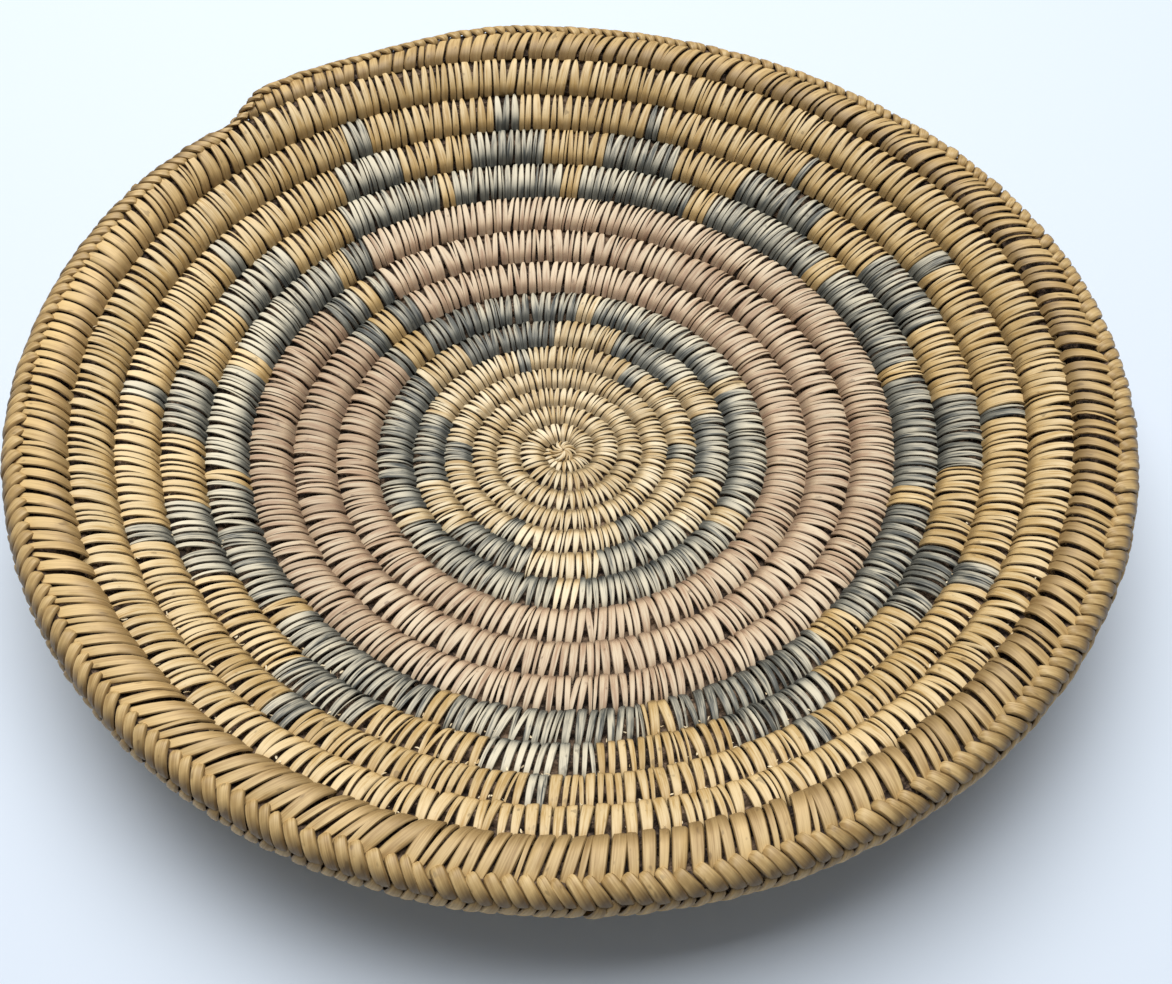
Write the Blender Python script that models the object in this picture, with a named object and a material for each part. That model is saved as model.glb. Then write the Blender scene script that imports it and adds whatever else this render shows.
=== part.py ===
"""Navajo wedding basket: a shallow bowl of one coil that winds outward and is sewn with flat splints.

The coil's foundation is one unbroken spiral. The sewing is modelled as sleeves round it, one object
for each field of colour, stepped row by row as the weaver counts it out. Angles are counted
anticlockwise from the pathway, the undyed line that every turn starts and ends at.
"""

import math

import bmesh
import bpy
import numpy as np
from mathutils import Vector

MM = 0.001

# The bowl's middle surface rises as a power of the radius
RIM_RADIUS = 162 * MM
RIM_RISE = 53.4 * MM
BOWL_CURVE = 2.9
RIM_WARP = 2.7 * MM  # the rim of a hand-sewn bowl isn't level: two sides lift and two sink
WARP_ANGLE = -154.0  # degrees from the pathway to one lifted side

# The coil
PATHWAY_ANGLE = 142.5  # degrees from +X
KNOT_RADIUS = 3 * MM
START_EDGE = 5.7 * MM  # radius to the coil's outer edge where it starts
FINE_PITCH = 7.5 * MM
BROAD_PITCH = 13.1 * MM
FINE_TURNS = 2.0
BROAD_TURNS = 8.0
RIM_PITCH = 14 * MM
RIM_GROWTH_ANGLE = 40.0  # degrees in which the rim coil reaches its width and its flare
RIM_FLARE_ANGLE = 45.0  # the rim coil is turned outward about its inner groove, and lies almost level
FLATNESS_SHARE = 0.72  # a coil's thickness against its width
NECK_SHARE = 0.40  # thickness left in the groove between two rows, against the coil's
CREST_SHARE = 0.27  # where the coil's rounded shoulders lie across its width
RIM_TAPER_ANGLE = 322.0
RIM_END_ANGLE = 352.0
RIM_TAIL_SHARE = 0.12  # width left where the coil ends, against its full width
RIM_TAIL_CURVE = 1.5
LEAST_THICKNESS = 3 * MM
TURNS = 15
WORN_FLAT = 0.5 * MM  # worn off the lowest coils, which the basket stands on
FLOOR = WORN_FLAT - FLATNESS_SHARE * FINE_PITCH / 2  # measured from the middle surface

# The foundation inside the sewing
ROD_SHARE = 0.22  # bundle radius against the coil's width
ROD_SLACK = 0.3 * MM
ROD_START_TURN = 1.0
ROD_END_ANGLE = 336.0  # degrees into the last turn
FINE_ROD_ANGLE = 22.5
BROAD_ROD_ANGLE = 15.0

# The pattern, in turns and degrees
CENTRE_TURNS = (1, 2, 3, 4)
INNER_TURNS = (5, 6, 7)  # peak, block and base of each inner step
RED_TURNS = (8, 9, 10)
OUTER_TURNS = (13, 12, 11)  # peak, block and base of each outer step
PLAIN_TURN = 14
RIM_TURN = 15
INNER_CENTRE_ANGLES = (42, 101, 161, 219, 273, 330)
INNER_PEAK_ANGLE = 4.6
INNER_BLOCK_ANGLE = 16.5
INNER_NOTCH_ANGLE = 2.8
INNER_BASE_ANGLE = 11.0
OUTER_CENTRE_ANGLES = (12, 41, 66, 97, 127, 158, 188, 216, 244, 271, 296, 319, 343)
OUTER_PEAK_ANGLE = 1.75
OUTER_BLOCK_ANGLE = 6.8
OUTER_NOTCH_ANGLE = 1.7
OUTER_BASE_ANGLE = 351.5
PATHWAY_HALF_ANGLE = 2.9
PATHWAY_BORDER_ANGLE = 6.2

# The false braid over the rim
BRAID_THICKNESS = 2 * MM
BRAID_LAP_SHARE = 0.15  # how far it laps in past the rim coil's shoulder, against the coil's width
BRAID_EDGE_SHARE = 0.8  # thinner where it bends round the edge
BRAID_START_ANGLE = 353.0

# Spacing and facets
GAP = 0.3 * MM
CENTRE_STEP_ANGLE = 22.5
INNER_STEP_ANGLE = 12.5
RED_STEP_ANGLE = 8.8
OUTER_STEP_ANGLE = 8.0
RIM_STEP_ANGLE = 6.7

FULL_TURN = 360.0
RIM_START = (TURNS - 1) * FULL_TURN  # where the rim coil begins, in degrees wound

NATURAL = ("undyed_sumac", (0.56, 0.40, 0.18), 0.55)
RIM_NATURAL = ("undyed_sumac_rim", (0.45, 0.33, 0.16), 0.5)
DARK = ("black_dyed_sumac", (0.055, 0.06, 0.07), 0.5)
RED = ("faded_red_sumac", (0.45, 0.30, 0.23), 0.6)
ROD = ("willow_rods", (0.26, 0.20, 0.14), 0.8)


def clear_scene():
    for old in list(bpy.data.objects):
        bpy.data.objects.remove(old, do_unlink=True)


def material(name, colour, roughness):
    if name in bpy.data.materials:
        return bpy.data.materials[name]
    made = bpy.data.materials.new(name)
    made.use_nodes = True
    shader = made.node_tree.nodes["Principled BSDF"]
    shader.inputs["Base Color"].default_value = (*colour, 1)
    shader.inputs["Roughness"].default_value = roughness
    made.diffuse_color = (*colour, 1)
    return made


# The bowl's middle surface, stepped finely so that a distance along it gives a radius
PROFILE_RADII = np.linspace(0, 1.15 * RIM_RADIUS, 1200)
PROFILE_HEIGHTS = RIM_RISE * (PROFILE_RADII / RIM_RADIUS) ** BOWL_CURVE
PROFILE_LENGTHS = np.concatenate(
    [[0], np.cumsum(np.hypot(np.diff(PROFILE_RADII), np.diff(PROFILE_HEIGHTS)))]
)


def eased(share):
    """A share from 0 to 1 that starts and ends gently."""
    share = min(max(share, 0), 1)
    return share**2 * (3 - 2 * share)


def sloped_point(along, above, angle):
    """Radius and height of a point on the bowl's even slope."""
    radius = float(np.interp(along, PROFILE_LENGTHS, PROFILE_RADII))
    share = radius / RIM_RADIUS
    steepness = math.atan(BOWL_CURVE * RIM_RISE / RIM_RADIUS * share ** (BOWL_CURVE - 1))
    lift = RIM_WARP * share**2 * math.cos(2 * math.radians(angle - WARP_ANGLE))
    height = RIM_RISE * share**BOWL_CURVE + lift + above * math.cos(steepness)
    return radius - above * math.sin(steepness), height


def rim_flare(angle):
    """How far the rim coil is turned outward, in radians, by degrees past its start."""
    left = (RIM_END_ANGLE - angle) / (RIM_END_ANGLE - RIM_TAPER_ANGLE)
    return math.radians(RIM_FLARE_ANGLE) * eased(angle / RIM_GROWTH_ANGLE) * eased(left)


def bowl_point(along, above, place):
    """A point by its distance along the bowl, its height above the middle surface and degrees wound."""
    reach, height = sloped_point(along, above, place)
    if place > RIM_START:
        hinge_reach, hinge_height = sloped_point(edge(place - FULL_TURN), 0, place)
        flare = rim_flare(place - RIM_START)
        out, up = reach - hinge_reach, height - hinge_height
        reach = hinge_reach + out * math.cos(flare) + up * math.sin(flare)
        height = hinge_height + up * math.cos(flare) - out * math.sin(flare)
    turned = math.radians(place + PATHWAY_ANGLE)
    return (reach * math.cos(turned), reach * math.sin(turned), max(height, FLOOR))


def coil_pitch(turn):
    """Width of the coil, which is fine at the start and broad further out."""
    grown = eased((turn - FINE_TURNS) / (BROAD_TURNS - FINE_TURNS))
    return FINE_PITCH + (BROAD_PITCH - FINE_PITCH) * grown


def spiral_edge(turn):
    """Distance along the bowl to the edge of a coil of that pitch: the pitch added up over the turns."""
    share = max((turn - FINE_TURNS) / (BROAD_TURNS - FINE_TURNS), 0)
    grown = share**3 - share**4 / 2 if share < 1 else share - 0.5
    return START_EDGE + FINE_PITCH * turn + (BROAD_PITCH - FINE_PITCH) * (BROAD_TURNS - FINE_TURNS) * grown


def rim_width(angle):
    grown = min(angle / RIM_GROWTH_ANGLE, 1)
    width = BROAD_PITCH + (RIM_PITCH - BROAD_PITCH) * grown
    left = min(max((RIM_END_ANGLE - angle) / (RIM_END_ANGLE - RIM_TAPER_ANGLE), 0), 1)
    return width * (RIM_TAIL_SHARE + (1 - RIM_TAIL_SHARE) * math.sin(left * math.pi / 2) ** RIM_TAIL_CURVE)


def edge(place):
    """Distance along the bowl to the coil's outer edge, by degrees wound since its start."""
    turn = place / FULL_TURN
    if turn < 0:
        return KNOT_RADIUS + GAP + (START_EDGE - KNOT_RADIUS - GAP) * max(1 + turn, 0) ** 3
    if turn > TURNS - 1:
        return spiral_edge(turn - 1) + rim_width(place - RIM_START)
    return spiral_edge(turn)


def half_thickness(place):
    turn = place / FULL_TURN
    if turn <= TURNS - 1:
        return FLATNESS_SHARE * coil_pitch(turn) / 2
    width = edge(place) - edge(place - FULL_TURN)
    return max(FLATNESS_SHARE * width / 2, LEAST_THICKNESS / 2)


def as_degrees(length, place):
    """A length along the coil as an angle round the bowl."""
    return math.degrees(length / edge(place))


def groove_points(place, angle_shift, along_shift):
    """Top and bottom of the groove at the coil's outer edge."""
    above = NECK_SHARE * half_thickness(max(place, 0))
    angle = place + as_degrees(angle_shift, place)
    along = edge(place) + along_shift
    return bowl_point(along, above, angle), bowl_point(along, -above, angle)


def crest_points(place, angle_shift):
    """The two shoulders of the coil above, then the two below."""
    inner, outer = edge(place - FULL_TURN), edge(place)
    angle = place + as_degrees(angle_shift, place)
    thick = half_thickness(place)
    alongs = [inner + share * (outer - inner) for share in (CREST_SHARE, 1 - CREST_SHARE)]
    return [bowl_point(along, side * thick, angle) for side in (1, -1) for along in alongs]


def rod_ring(place, slack):
    """The three corners of the rod bundle, or of the hollow that it runs in."""
    middle = (edge(place - FULL_TURN) + edge(place)) / 2
    radius = ROD_SHARE * coil_pitch(place / FULL_TURN) + 2 * slack
    corners = [math.radians(90 + 120 * k) for k in range(3)]
    return [bowl_point(middle + radius * math.cos(c), radius * math.sin(c), place) for c in corners]


def rod_places():
    """Where the rod bundle bends, in degrees wound. Between these it runs straight."""
    places = []
    place = ROD_START_TURN * FULL_TURN
    last = RIM_START + ROD_END_ANGLE
    while place < last:
        places.append(place)
        place += FINE_ROD_ANGLE if place < CENTRE_TURNS[-1] * FULL_TURN else BROAD_ROD_ANGLE
    return [*places, last]


ROD_PLACES = rod_places()


def rod_ring_between(place, slack):
    """The bundle's corners at any place, on the straight lines between its bends."""
    after = next((k for k, bend in enumerate(ROD_PLACES) if bend >= place), len(ROD_PLACES) - 1)
    after = max(after, 1)
    before, turned = ROD_PLACES[after - 1], math.radians(place + PATHWAY_ANGLE)
    ring = []
    for start, end in zip(rod_ring(before, slack), rod_ring(ROD_PLACES[after], slack)):
        across_start = start[1] * math.cos(turned) - start[0] * math.sin(turned)
        across_end = end[1] * math.cos(turned) - end[0] * math.sin(turned)
        share = across_start / (across_start - across_end)
        ring.append(tuple(a + share * (b - a) for a, b in zip(start, end)))
    return ring


def stepped_fields(name, turns, centres, peak, block, notch, base_start, base_end):
    """The dark steps of one ring and the undyed steps between them, as (field, turn, from, to)."""
    peak_turn, block_turn, base_turn = turns
    between = [(a + b) / 2 for a, b in zip(centres, centres[1:])]
    runs = []
    for k, centre in enumerate(centres):
        dark = f"{name}_dark_step_{k + 1}"
        base_from = between[k - 1] + notch if k else base_start
        base_to = between[k] - notch if k < len(between) else base_end
        runs.append((dark, peak_turn, centre - peak, centre + peak))
        runs.append((dark, block_turn, centre - block, centre + block))
        runs.append((dark, base_turn, base_from, base_to))
    for k, middle in enumerate(between):
        pale = f"{name}_natural_step_{k + 1}"
        runs.append((pale, peak_turn, centres[k] + peak, centres[k + 1] - peak))
        runs.append((pale, block_turn, centres[k] + block, centres[k + 1] - block))
        runs.append((pale, base_turn, middle - notch, middle + notch))
    last = f"{name}_natural_step_{len(centres)}"
    for turn, half in ((peak_turn, peak), (block_turn, block)):
        runs.append((last, turn, 0, centres[0] - half))
        runs.append((last, turn, centres[-1] + half, FULL_TURN))
    return runs


def pattern():
    """Every run of one colour along the coil, as (field, turn, from, to) in degrees past the pathway."""
    path_end = FULL_TURN - PATHWAY_HALF_ANGLE
    border_start = path_end - PATHWAY_BORDER_ANGLE
    border_end = PATHWAY_HALF_ANGLE + PATHWAY_BORDER_ANGLE
    runs = [("natural_centre", turn, 0, FULL_TURN) for turn in CENTRE_TURNS]
    runs += stepped_fields("inner", INNER_TURNS, INNER_CENTRE_ANGLES, INNER_PEAK_ANGLE, INNER_BLOCK_ANGLE,
                           INNER_NOTCH_ANGLE, INNER_BASE_ANGLE, path_end)
    last = f"inner_natural_step_{len(INNER_CENTRE_ANGLES)}"
    runs.append((last, INNER_TURNS[2], 0, INNER_BASE_ANGLE))
    runs.append(("pathway", INNER_TURNS[2], path_end, FULL_TURN))
    for row, turn in enumerate(RED_TURNS):
        runs.append(("pathway", turn, 0, PATHWAY_HALF_ANGLE))
        runs.append(("pathway_border_right", turn, PATHWAY_HALF_ANGLE, border_end))
        runs.append((f"red_row_{row + 1}", turn, border_end, border_start))
        runs.append(("pathway_border_left", turn, border_start, path_end))
        runs.append(("pathway", turn, path_end, FULL_TURN))
    runs.append(("pathway", OUTER_TURNS[2], 0, PATHWAY_HALF_ANGLE))
    runs += stepped_fields("outer", OUTER_TURNS, OUTER_CENTRE_ANGLES, OUTER_PEAK_ANGLE, OUTER_BLOCK_ANGLE,
                           OUTER_NOTCH_ANGLE, PATHWAY_HALF_ANGLE, OUTER_BASE_ANGLE)
    last = f"outer_natural_step_{len(OUTER_CENTRE_ANGLES)}"
    runs.append((last, OUTER_TURNS[2], OUTER_BASE_ANGLE, FULL_TURN))
    runs.append(("natural_row", PLAIN_TURN, 0, FULL_TURN))
    runs.append(("rim_coil", RIM_TURN, 0, RIM_END_ANGLE))
    return runs


def stations(runs, turns, step):
    """The angles at which the rows of one group are cut, shared so that stacked rows meet point to point."""
    ends = sorted({0.0, FULL_TURN} | {float(a) for _, turn, *span in runs if turn in turns for a in span})
    angles = [ends[0]]
    for start, end in zip(ends, ends[1:]):
        parts = math.ceil((end - start) / step - 1e-6)
        angles += [start + (end - start) * (k + 1) / parts for k in range(parts)]
    return angles


def cells_by_field(runs):
    """For each field, the cells of coil that it holds, each as its first and last place."""
    groups = ((CENTRE_TURNS, CENTRE_STEP_ANGLE), (INNER_TURNS, INNER_STEP_ANGLE),
              (RED_TURNS, RED_STEP_ANGLE), (OUTER_TURNS, OUTER_STEP_ANGLE),
              ((PLAIN_TURN, RIM_TURN), RIM_STEP_ANGLE))
    fields = {}
    for turns, step in groups:
        angles = stations(runs, turns, step)
        for field, turn, start, end in runs:
            if turn not in turns:
                continue
            inside = [a for a in angles if start - 1e-6 <= a <= end + 1e-6]
            wound = (turn - 1) * FULL_TURN
            fields.setdefault(field, [])
            fields[field] += [(round(wound + a, 6), round(wound + b, 6)) for a, b in zip(inside, inside[1:])]
    return fields


class Sleeve:
    """The sewing of one field: an eight-sided tube round the rods, its stacked rows joined in the groove."""

    def __init__(self, cells):
        self.cells = set(cells)
        self.starts = {a: b for a, b in cells}
        self.ends = {b: a for a, b in cells}
        self.mesh = bmesh.new()
        self.corners = {}

    def shift(self, place):
        """How far a cut end is drawn back, so that the next field clears it."""
        begins, closes = place in self.starts, place in self.ends
        return (GAP / 2) * (begins - closes) if begins != closes else 0.0

    def groove(self, place, outward):
        """The groove at the coil's outer edge, seen from the row inside it or from the row beyond it.

        Both rows share its corners, except where a ring's two cut ends only meet across it.
        """
        place = round(place, 6)
        beyond = round(place + FULL_TURN, 6)
        inner = (place in self.ends, place in self.starts)
        outer = (beyond in self.ends, beyond in self.starts)
        crossed = inner in ((True, False), (False, True)) and outer == inner[::-1]
        key = ("groove", place, outward if crossed else None)
        if key not in self.corners:
            if crossed:
                along = GAP / 2 if outward else -GAP / 2
                shift = self.shift(beyond if outward else place)
            else:
                along = (GAP / 2) * (any(outer) - any(inner))
                shift = self.shift(place) or self.shift(beyond)
            self.corners[key] = [self.mesh.verts.new(p) for p in groove_points(place, shift, along)]
        return self.corners[key]

    def crest(self, place):
        if ("crest", place) not in self.corners:
            points = crest_points(place, self.shift(place))
            self.corners["crest", place] = [self.mesh.verts.new(p) for p in points]
        return self.corners["crest", place]

    def ring(self, place):
        """The eight corners round the coil, from the inner groove over the top to the outer one and back."""
        inner_top, inner_bottom = self.groove(place - FULL_TURN, True)
        outer_top, outer_bottom = self.groove(place, False)
        top_in, top_out, low_in, low_out = self.crest(place)
        return [inner_top, top_in, top_out, outer_top, outer_bottom, low_out, low_in, inner_bottom]

    def skin(self, first, last):
        """The outside of one cell, with its groove walls where no row of the same field joins it."""
        near, far = self.ring(first), self.ring(last)
        joined_out = (round(first + FULL_TURN, 6), round(last + FULL_TURN, 6)) in self.cells
        joined_in = (round(first - FULL_TURN, 6), round(last - FULL_TURN, 6)) in self.cells
        for k in range(8):
            after = (k + 1) % 8
            if (k == 3 and joined_out) or (k == 7 and joined_in):
                continue
            self.mesh.faces.new((near[k], near[after], far[after], far[k]))

    def hollow(self, start, end):
        """The hollow that the rods run in, along one unbroken run of coil. It returns its two end rings."""
        first = max(start, ROD_PLACES[0] - as_degrees(ROD_SLACK, ROD_PLACES[0] - FULL_TURN / 2))
        last = min(end, ROD_PLACES[-1] + as_degrees(ROD_SLACK, ROD_PLACES[-1] - FULL_TURN))
        if last <= first:
            return None, None
        drawn = as_degrees(self.shift(start), start) if first == start else 0
        held = as_degrees(self.shift(end), end) if last == end else 0
        places = [first + drawn, *(p for p in ROD_PLACES if first + 0.5 < p < last - 0.5), last + held]
        rings = [[self.mesh.verts.new(p) for p in rod_ring_between(a, ROD_SLACK)] for a in places]
        for near, far in zip(rings, rings[1:]):
            for k in range(3):
                after = (k + 1) % 3
                self.mesh.faces.new((near[after], near[k], far[k], far[after]))
        if first != start:
            self.mesh.faces.new(rings[0])
        if last != end:
            self.mesh.faces.new(rings[-1][::-1])
        return rings[0] if first == start else None, rings[-1] if last == end else None

    def cap(self, place, hole):
        """A cut end: the eight corners joined to the three of the hollow."""
        outside = self.ring(place)
        if hole is None:
            self.mesh.faces.new(outside)
            return
        # corner 0 of the hollow points up, corner 1 inward and corner 2 outward
        nearest = (1, 0, 0, 2, 2, 2, 1, 1)
        for k in range(8):
            after = (k + 1) % 8
            self.mesh.faces.new((outside[k], outside[after], hole[nearest[k]]))
            if nearest[k] != nearest[after]:
                self.mesh.faces.new((outside[after], hole[nearest[after]], hole[nearest[k]]))

    def build(self):
        for first, last in sorted(self.cells):
            self.skin(first, last)
        for start in sorted(set(self.starts) - set(self.ends)):
            end = start
            while end in self.starts:
                end = self.starts[end]
            near, far = self.hollow(start, end)
            self.cap(start, near)
            self.cap(end, far)
        return self.mesh


def loft(mesh, rings):
    """A closed tube through rings of equally many points, with flat ends."""
    made = [[mesh.verts.new(p) for p in ring] for ring in rings]
    count = len(made[0])
    for near, far in zip(made, made[1:]):
        for k in range(count):
            after = (k + 1) % count
            mesh.faces.new((near[k], near[after], far[after], far[k]))
    mesh.faces.new(made[0])
    mesh.faces.new(made[-1])


def braid_ring(place):
    """The braid's section: a lip bent round the outer side of the coil, from shoulder to shoulder."""
    outer = edge(place)
    width = outer - edge(place - FULL_TURN)
    shoulder = outer - CREST_SHARE * width
    thick = half_thickness(place)
    inside = [(outer + GAP, NECK_SHARE * thick + GAP / 2), (shoulder + GAP / 2, thick + GAP)]
    outside = [(shoulder - BRAID_LAP_SHARE * width, thick + GAP),
               (shoulder, thick + BRAID_THICKNESS),
               (outer + BRAID_EDGE_SHARE * BRAID_THICKNESS, NECK_SHARE * thick + BRAID_THICKNESS)]
    upper = inside + outside
    lower = [(along, -above) for along, above in upper[::-1]]
    return [bowl_point(along, above, place) for along, above in upper + lower]


def rim_braid():
    """The braid covers the outermost edge for one whole turn, past the end of the coil and round again."""
    mesh = bmesh.new()
    start = (PLAIN_TURN - 1) * FULL_TURN + BRAID_START_ANGLE
    end = start + FULL_TURN - as_degrees(2 * GAP, start)
    angles = stations(pattern(), (PLAIN_TURN, RIM_TURN), RIM_STEP_ANGLE)
    cuts = [wound * FULL_TURN + a for wound in (PLAIN_TURN - 1, RIM_TURN - 1) for a in angles[:-1]]
    loft(mesh, [braid_ring(place) for place in (start, *(c for c in cuts if start < c < end), end)])
    return mesh


def foundation():
    mesh = bmesh.new()
    loft(mesh, [rod_ring(place, 0) for place in ROD_PLACES])
    return mesh


def start_knot():
    """The bound knot of fibres in the middle, which the first turn is sewn to."""
    mesh = bmesh.new()
    thick = FLATNESS_SHARE * FINE_PITCH / 2
    levels = ((0.75, 1), (1, 0.45), (1, -0.45), (0.75, -1))
    rings = [[bowl_point(share * KNOT_RADIUS, above * thick, k * 30) for k in range(12)]
             for share, above in levels]
    loft(mesh, rings)
    return mesh


def least_self_gap():
    """The least gap between one turn of the rods and the next, measured on points along both."""
    least = math.inf
    for place in np.arange(ROD_PLACES[0], ROD_PLACES[-1] - FULL_TURN, 7.5):
        outer_side = np.array(rod_ring_between(place, 0)[2])
        inner_side = np.array(rod_ring_between(place + FULL_TURN, 0)[1])
        least = min(least, float(np.linalg.norm(outer_side - inner_side)))
    return least


def add_object(name, mesh, finish):
    bmesh.ops.recalc_face_normals(mesh, faces=mesh.faces)
    bmesh.ops.triangulate(mesh, faces=mesh.faces)
    data = bpy.data.meshes.new(name)
    mesh.to_mesh(data)
    mesh.free()
    data.shade_smooth()
    data.set_sharp_from_angle(angle=math.radians(50))
    data.materials.append(material(*finish))
    made = bpy.data.objects.new(name, data)
    bpy.context.scene.collection.objects.link(made)
    return made


def finish_of(field):
    if "dark" in field or "border" in field:
        return DARK
    if "red" in field:
        return RED
    return RIM_NATURAL if field == "rim_coil" else NATURAL


def stand_on_origin(pieces):
    """Moves every piece so that the middle of the basket's box stands on the origin."""
    points = np.array([v.co for piece in pieces for v in piece.data.vertices])
    low, high = points.min(axis=0), points.max(axis=0)
    middle = [-(low[0] + high[0]) / 2, -(low[1] + high[1]) / 2, -low[2]]
    for piece in pieces:
        for vertex in piece.data.vertices:
            vertex.co += Vector(middle)
    print("moved by", [round(1000 * side, 3) for side in middle], "mm")


clear_scene()
pieces = [add_object("start_knot", start_knot(), NATURAL)]
for field, cells in cells_by_field(pattern()).items():
    pieces.append(add_object(field, Sleeve(cells).build(), finish_of(field)))
pieces.append(add_object("rim_braid", rim_braid(), RIM_NATURAL))
pieces.append(add_object("rod_foundation", foundation(), ROD))
stand_on_origin(pieces)
print("least gap between turns of the rods:", round(1000 * least_self_gap(), 2), "mm")
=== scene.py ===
# %% [markdown]
# # A coiled wedding basket, stitch by stitch
# The real basket is one long coil. Thin willow rods are laid round and round, and flat splints of
# sumac are sewn over them, each stitch catching the row inside it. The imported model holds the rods
# and one plain sleeve for each field of colour. This lesson dresses it with the 2,800 or so stitches,
# the rods that show between them and the herringbone braid along the rim.
#
# Modelling every stitch by hand would take a month. A displaced or bumped surface would be quick,
# but its stitches could not overlap, lean or end in points. So one stitch is modelled straight, then
# copied and wound onto the coil along the path that a basket maker's hands follow.

import math

import bmesh
import bpy
import numpy as np
from mathutils import Matrix, Vector


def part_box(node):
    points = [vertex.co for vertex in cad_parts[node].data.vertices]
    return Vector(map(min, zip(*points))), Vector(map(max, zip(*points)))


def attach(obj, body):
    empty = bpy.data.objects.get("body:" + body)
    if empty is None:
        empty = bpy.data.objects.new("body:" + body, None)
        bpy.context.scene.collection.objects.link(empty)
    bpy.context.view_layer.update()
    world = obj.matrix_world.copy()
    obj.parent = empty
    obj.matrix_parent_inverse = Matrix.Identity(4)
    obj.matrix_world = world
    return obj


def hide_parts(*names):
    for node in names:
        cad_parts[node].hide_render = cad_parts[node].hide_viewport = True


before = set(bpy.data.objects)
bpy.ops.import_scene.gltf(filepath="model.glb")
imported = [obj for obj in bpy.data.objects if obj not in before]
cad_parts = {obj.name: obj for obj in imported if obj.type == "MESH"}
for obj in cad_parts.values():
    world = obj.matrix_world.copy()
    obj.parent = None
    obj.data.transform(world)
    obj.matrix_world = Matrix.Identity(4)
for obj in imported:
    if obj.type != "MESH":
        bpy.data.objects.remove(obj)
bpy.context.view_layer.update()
scene = bpy.context.scene
link = scene.collection.objects.link
MM = 0.001

# %% [markdown]
# ## The bowl and its coil
# Two curves place everything. The bowl's middle surface rises as a power of the radius, with two
# sides of the rim a little higher than the others. The coil winds over it anticlockwise: fine in the
# middle, broader further out, and tapering to nothing at the end of the rim. The last turn doesn't
# follow the slope: the maker turned it outward until it lies almost level.
#
# A helix from the Screw modifier has one pitch, so it can't follow this coil. A formula in distance
# along the bowl, height above it and degrees wound can, on whole arrays of points at once.

# %% The coil's edge, width and thickness
FULL_TURN = 360
TURNS = 15
START_EDGE = 5.7 * MM
KNOT_RADIUS = 3 * MM
GAP = 0.3 * MM
START_CURVE = 3  # how gently the coil leaves the knot
FINE_PITCH = 7.5 * MM
BROAD_PITCH = 13.1 * MM
FINE_TURNS = 2.0
BROAD_TURNS = 8.0
RIM_PITCH = 14 * MM
RIM_GROWTH_ANGLE = 40
RIM_FLARE_ANGLE = 45
RIM_THINNING_ANGLES = (316, 340)  # the rim thins between these, before it tapers away
RIM_THINNING = 0.4
RIM_TAPER_ANGLE = 348
RIM_END_ANGLE = 358
RIM_TAIL_SHARE = 0.12
RIM_TAIL_CURVE = 1.5
FLATNESS_SHARE = 0.72
LEAST_THICKNESS = 3 * MM
RIM_START = (TURNS - 1) * FULL_TURN
COIL_END = RIM_START + RIM_END_ANGLE


def eased(share):
    """Shares from 0 to 1 that start and end gently."""
    share = np.clip(share, 0, 1)
    return share**2 * (3 - 2 * share)


def spiral_edge(turn):
    """Distance along the bowl to the coil's edge: the pitch, which grows smoothly, added up."""
    share = np.maximum((turn - FINE_TURNS) / (BROAD_TURNS - FINE_TURNS), 0)
    grown = np.where(share < 1, share**3 - share**4 / 2, share - 0.5)
    return START_EDGE + FINE_PITCH * turn + (BROAD_PITCH - FINE_PITCH) * (BROAD_TURNS - FINE_TURNS) * grown


def rim_width(angle):
    """The last turn's width: it grows at its start, thins near its end and then tapers away."""
    width = BROAD_PITCH + (RIM_PITCH - BROAD_PITCH) * np.clip(angle / RIM_GROWTH_ANGLE, 0, 1)
    low, high = RIM_THINNING_ANGLES
    width = width * (1 - RIM_THINNING * eased((angle - low) / (high - low)))
    left = np.clip((RIM_END_ANGLE - angle) / (RIM_END_ANGLE - RIM_TAPER_ANGLE), 0, 1)
    return width * (RIM_TAIL_SHARE + (1 - RIM_TAIL_SHARE) * np.sin(left * np.pi / 2) ** RIM_TAIL_CURVE)


def edge(place):
    """Distance along the bowl to the coil's outer edge, by degrees wound since its start."""
    turn = np.asarray(place, float) / FULL_TURN
    before = KNOT_RADIUS + GAP + (START_EDGE - KNOT_RADIUS - GAP) * np.maximum(1 + turn, 0) ** START_CURVE
    rim = spiral_edge(turn - 1) + rim_width(np.asarray(place, float) - RIM_START)
    return np.where(turn < 0, before, np.where(turn > TURNS - 1, rim, spiral_edge(turn)))


def coil_width(place):
    return edge(place) - edge(place - FULL_TURN)


def half_thickness(place):
    return np.maximum(FLATNESS_SHARE * coil_width(place) / 2, LEAST_THICKNESS / 2)


print("Widths of the turns in mm:", np.round(coil_width((np.arange(TURNS) + 0.5) * FULL_TURN) / MM, 1))

# %% The bowl's profile
RIM_RADIUS = 162 * MM
RIM_RISE = 53.4 * MM
BOWL_CURVE = 2.9
RIM_WARP = 2.7 * MM
WARP_ANGLE = -154
PATHWAY_ANGLE = 142.5
WORN_FLAT = 0.5 * MM
FLOOR = WORN_FLAT - FLATNESS_SHARE * FINE_PITCH / 2
PROFILE_STEPS = 1200
PROFILE_REACH = 1.15  # past the rim
HINGE_SHARE = 0.13  # the flare takes hold gently near the groove, so that the stitches bend without a crease

profile_radii = np.linspace(0, PROFILE_REACH * RIM_RADIUS, PROFILE_STEPS)
profile_heights = RIM_RISE * (profile_radii / RIM_RADIUS) ** BOWL_CURVE
profile_steps = np.hypot(np.diff(profile_radii), np.diff(profile_heights))
profile_lengths = np.concatenate([[0], np.cumsum(profile_steps)])

knot_low, knot_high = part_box("start_knot")
coil_centre = (knot_low + knot_high) / 2


def radius_at(along):
    """The bowl's radius at a distance along its profile."""
    return np.interp(along, profile_lengths, profile_radii)


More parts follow.
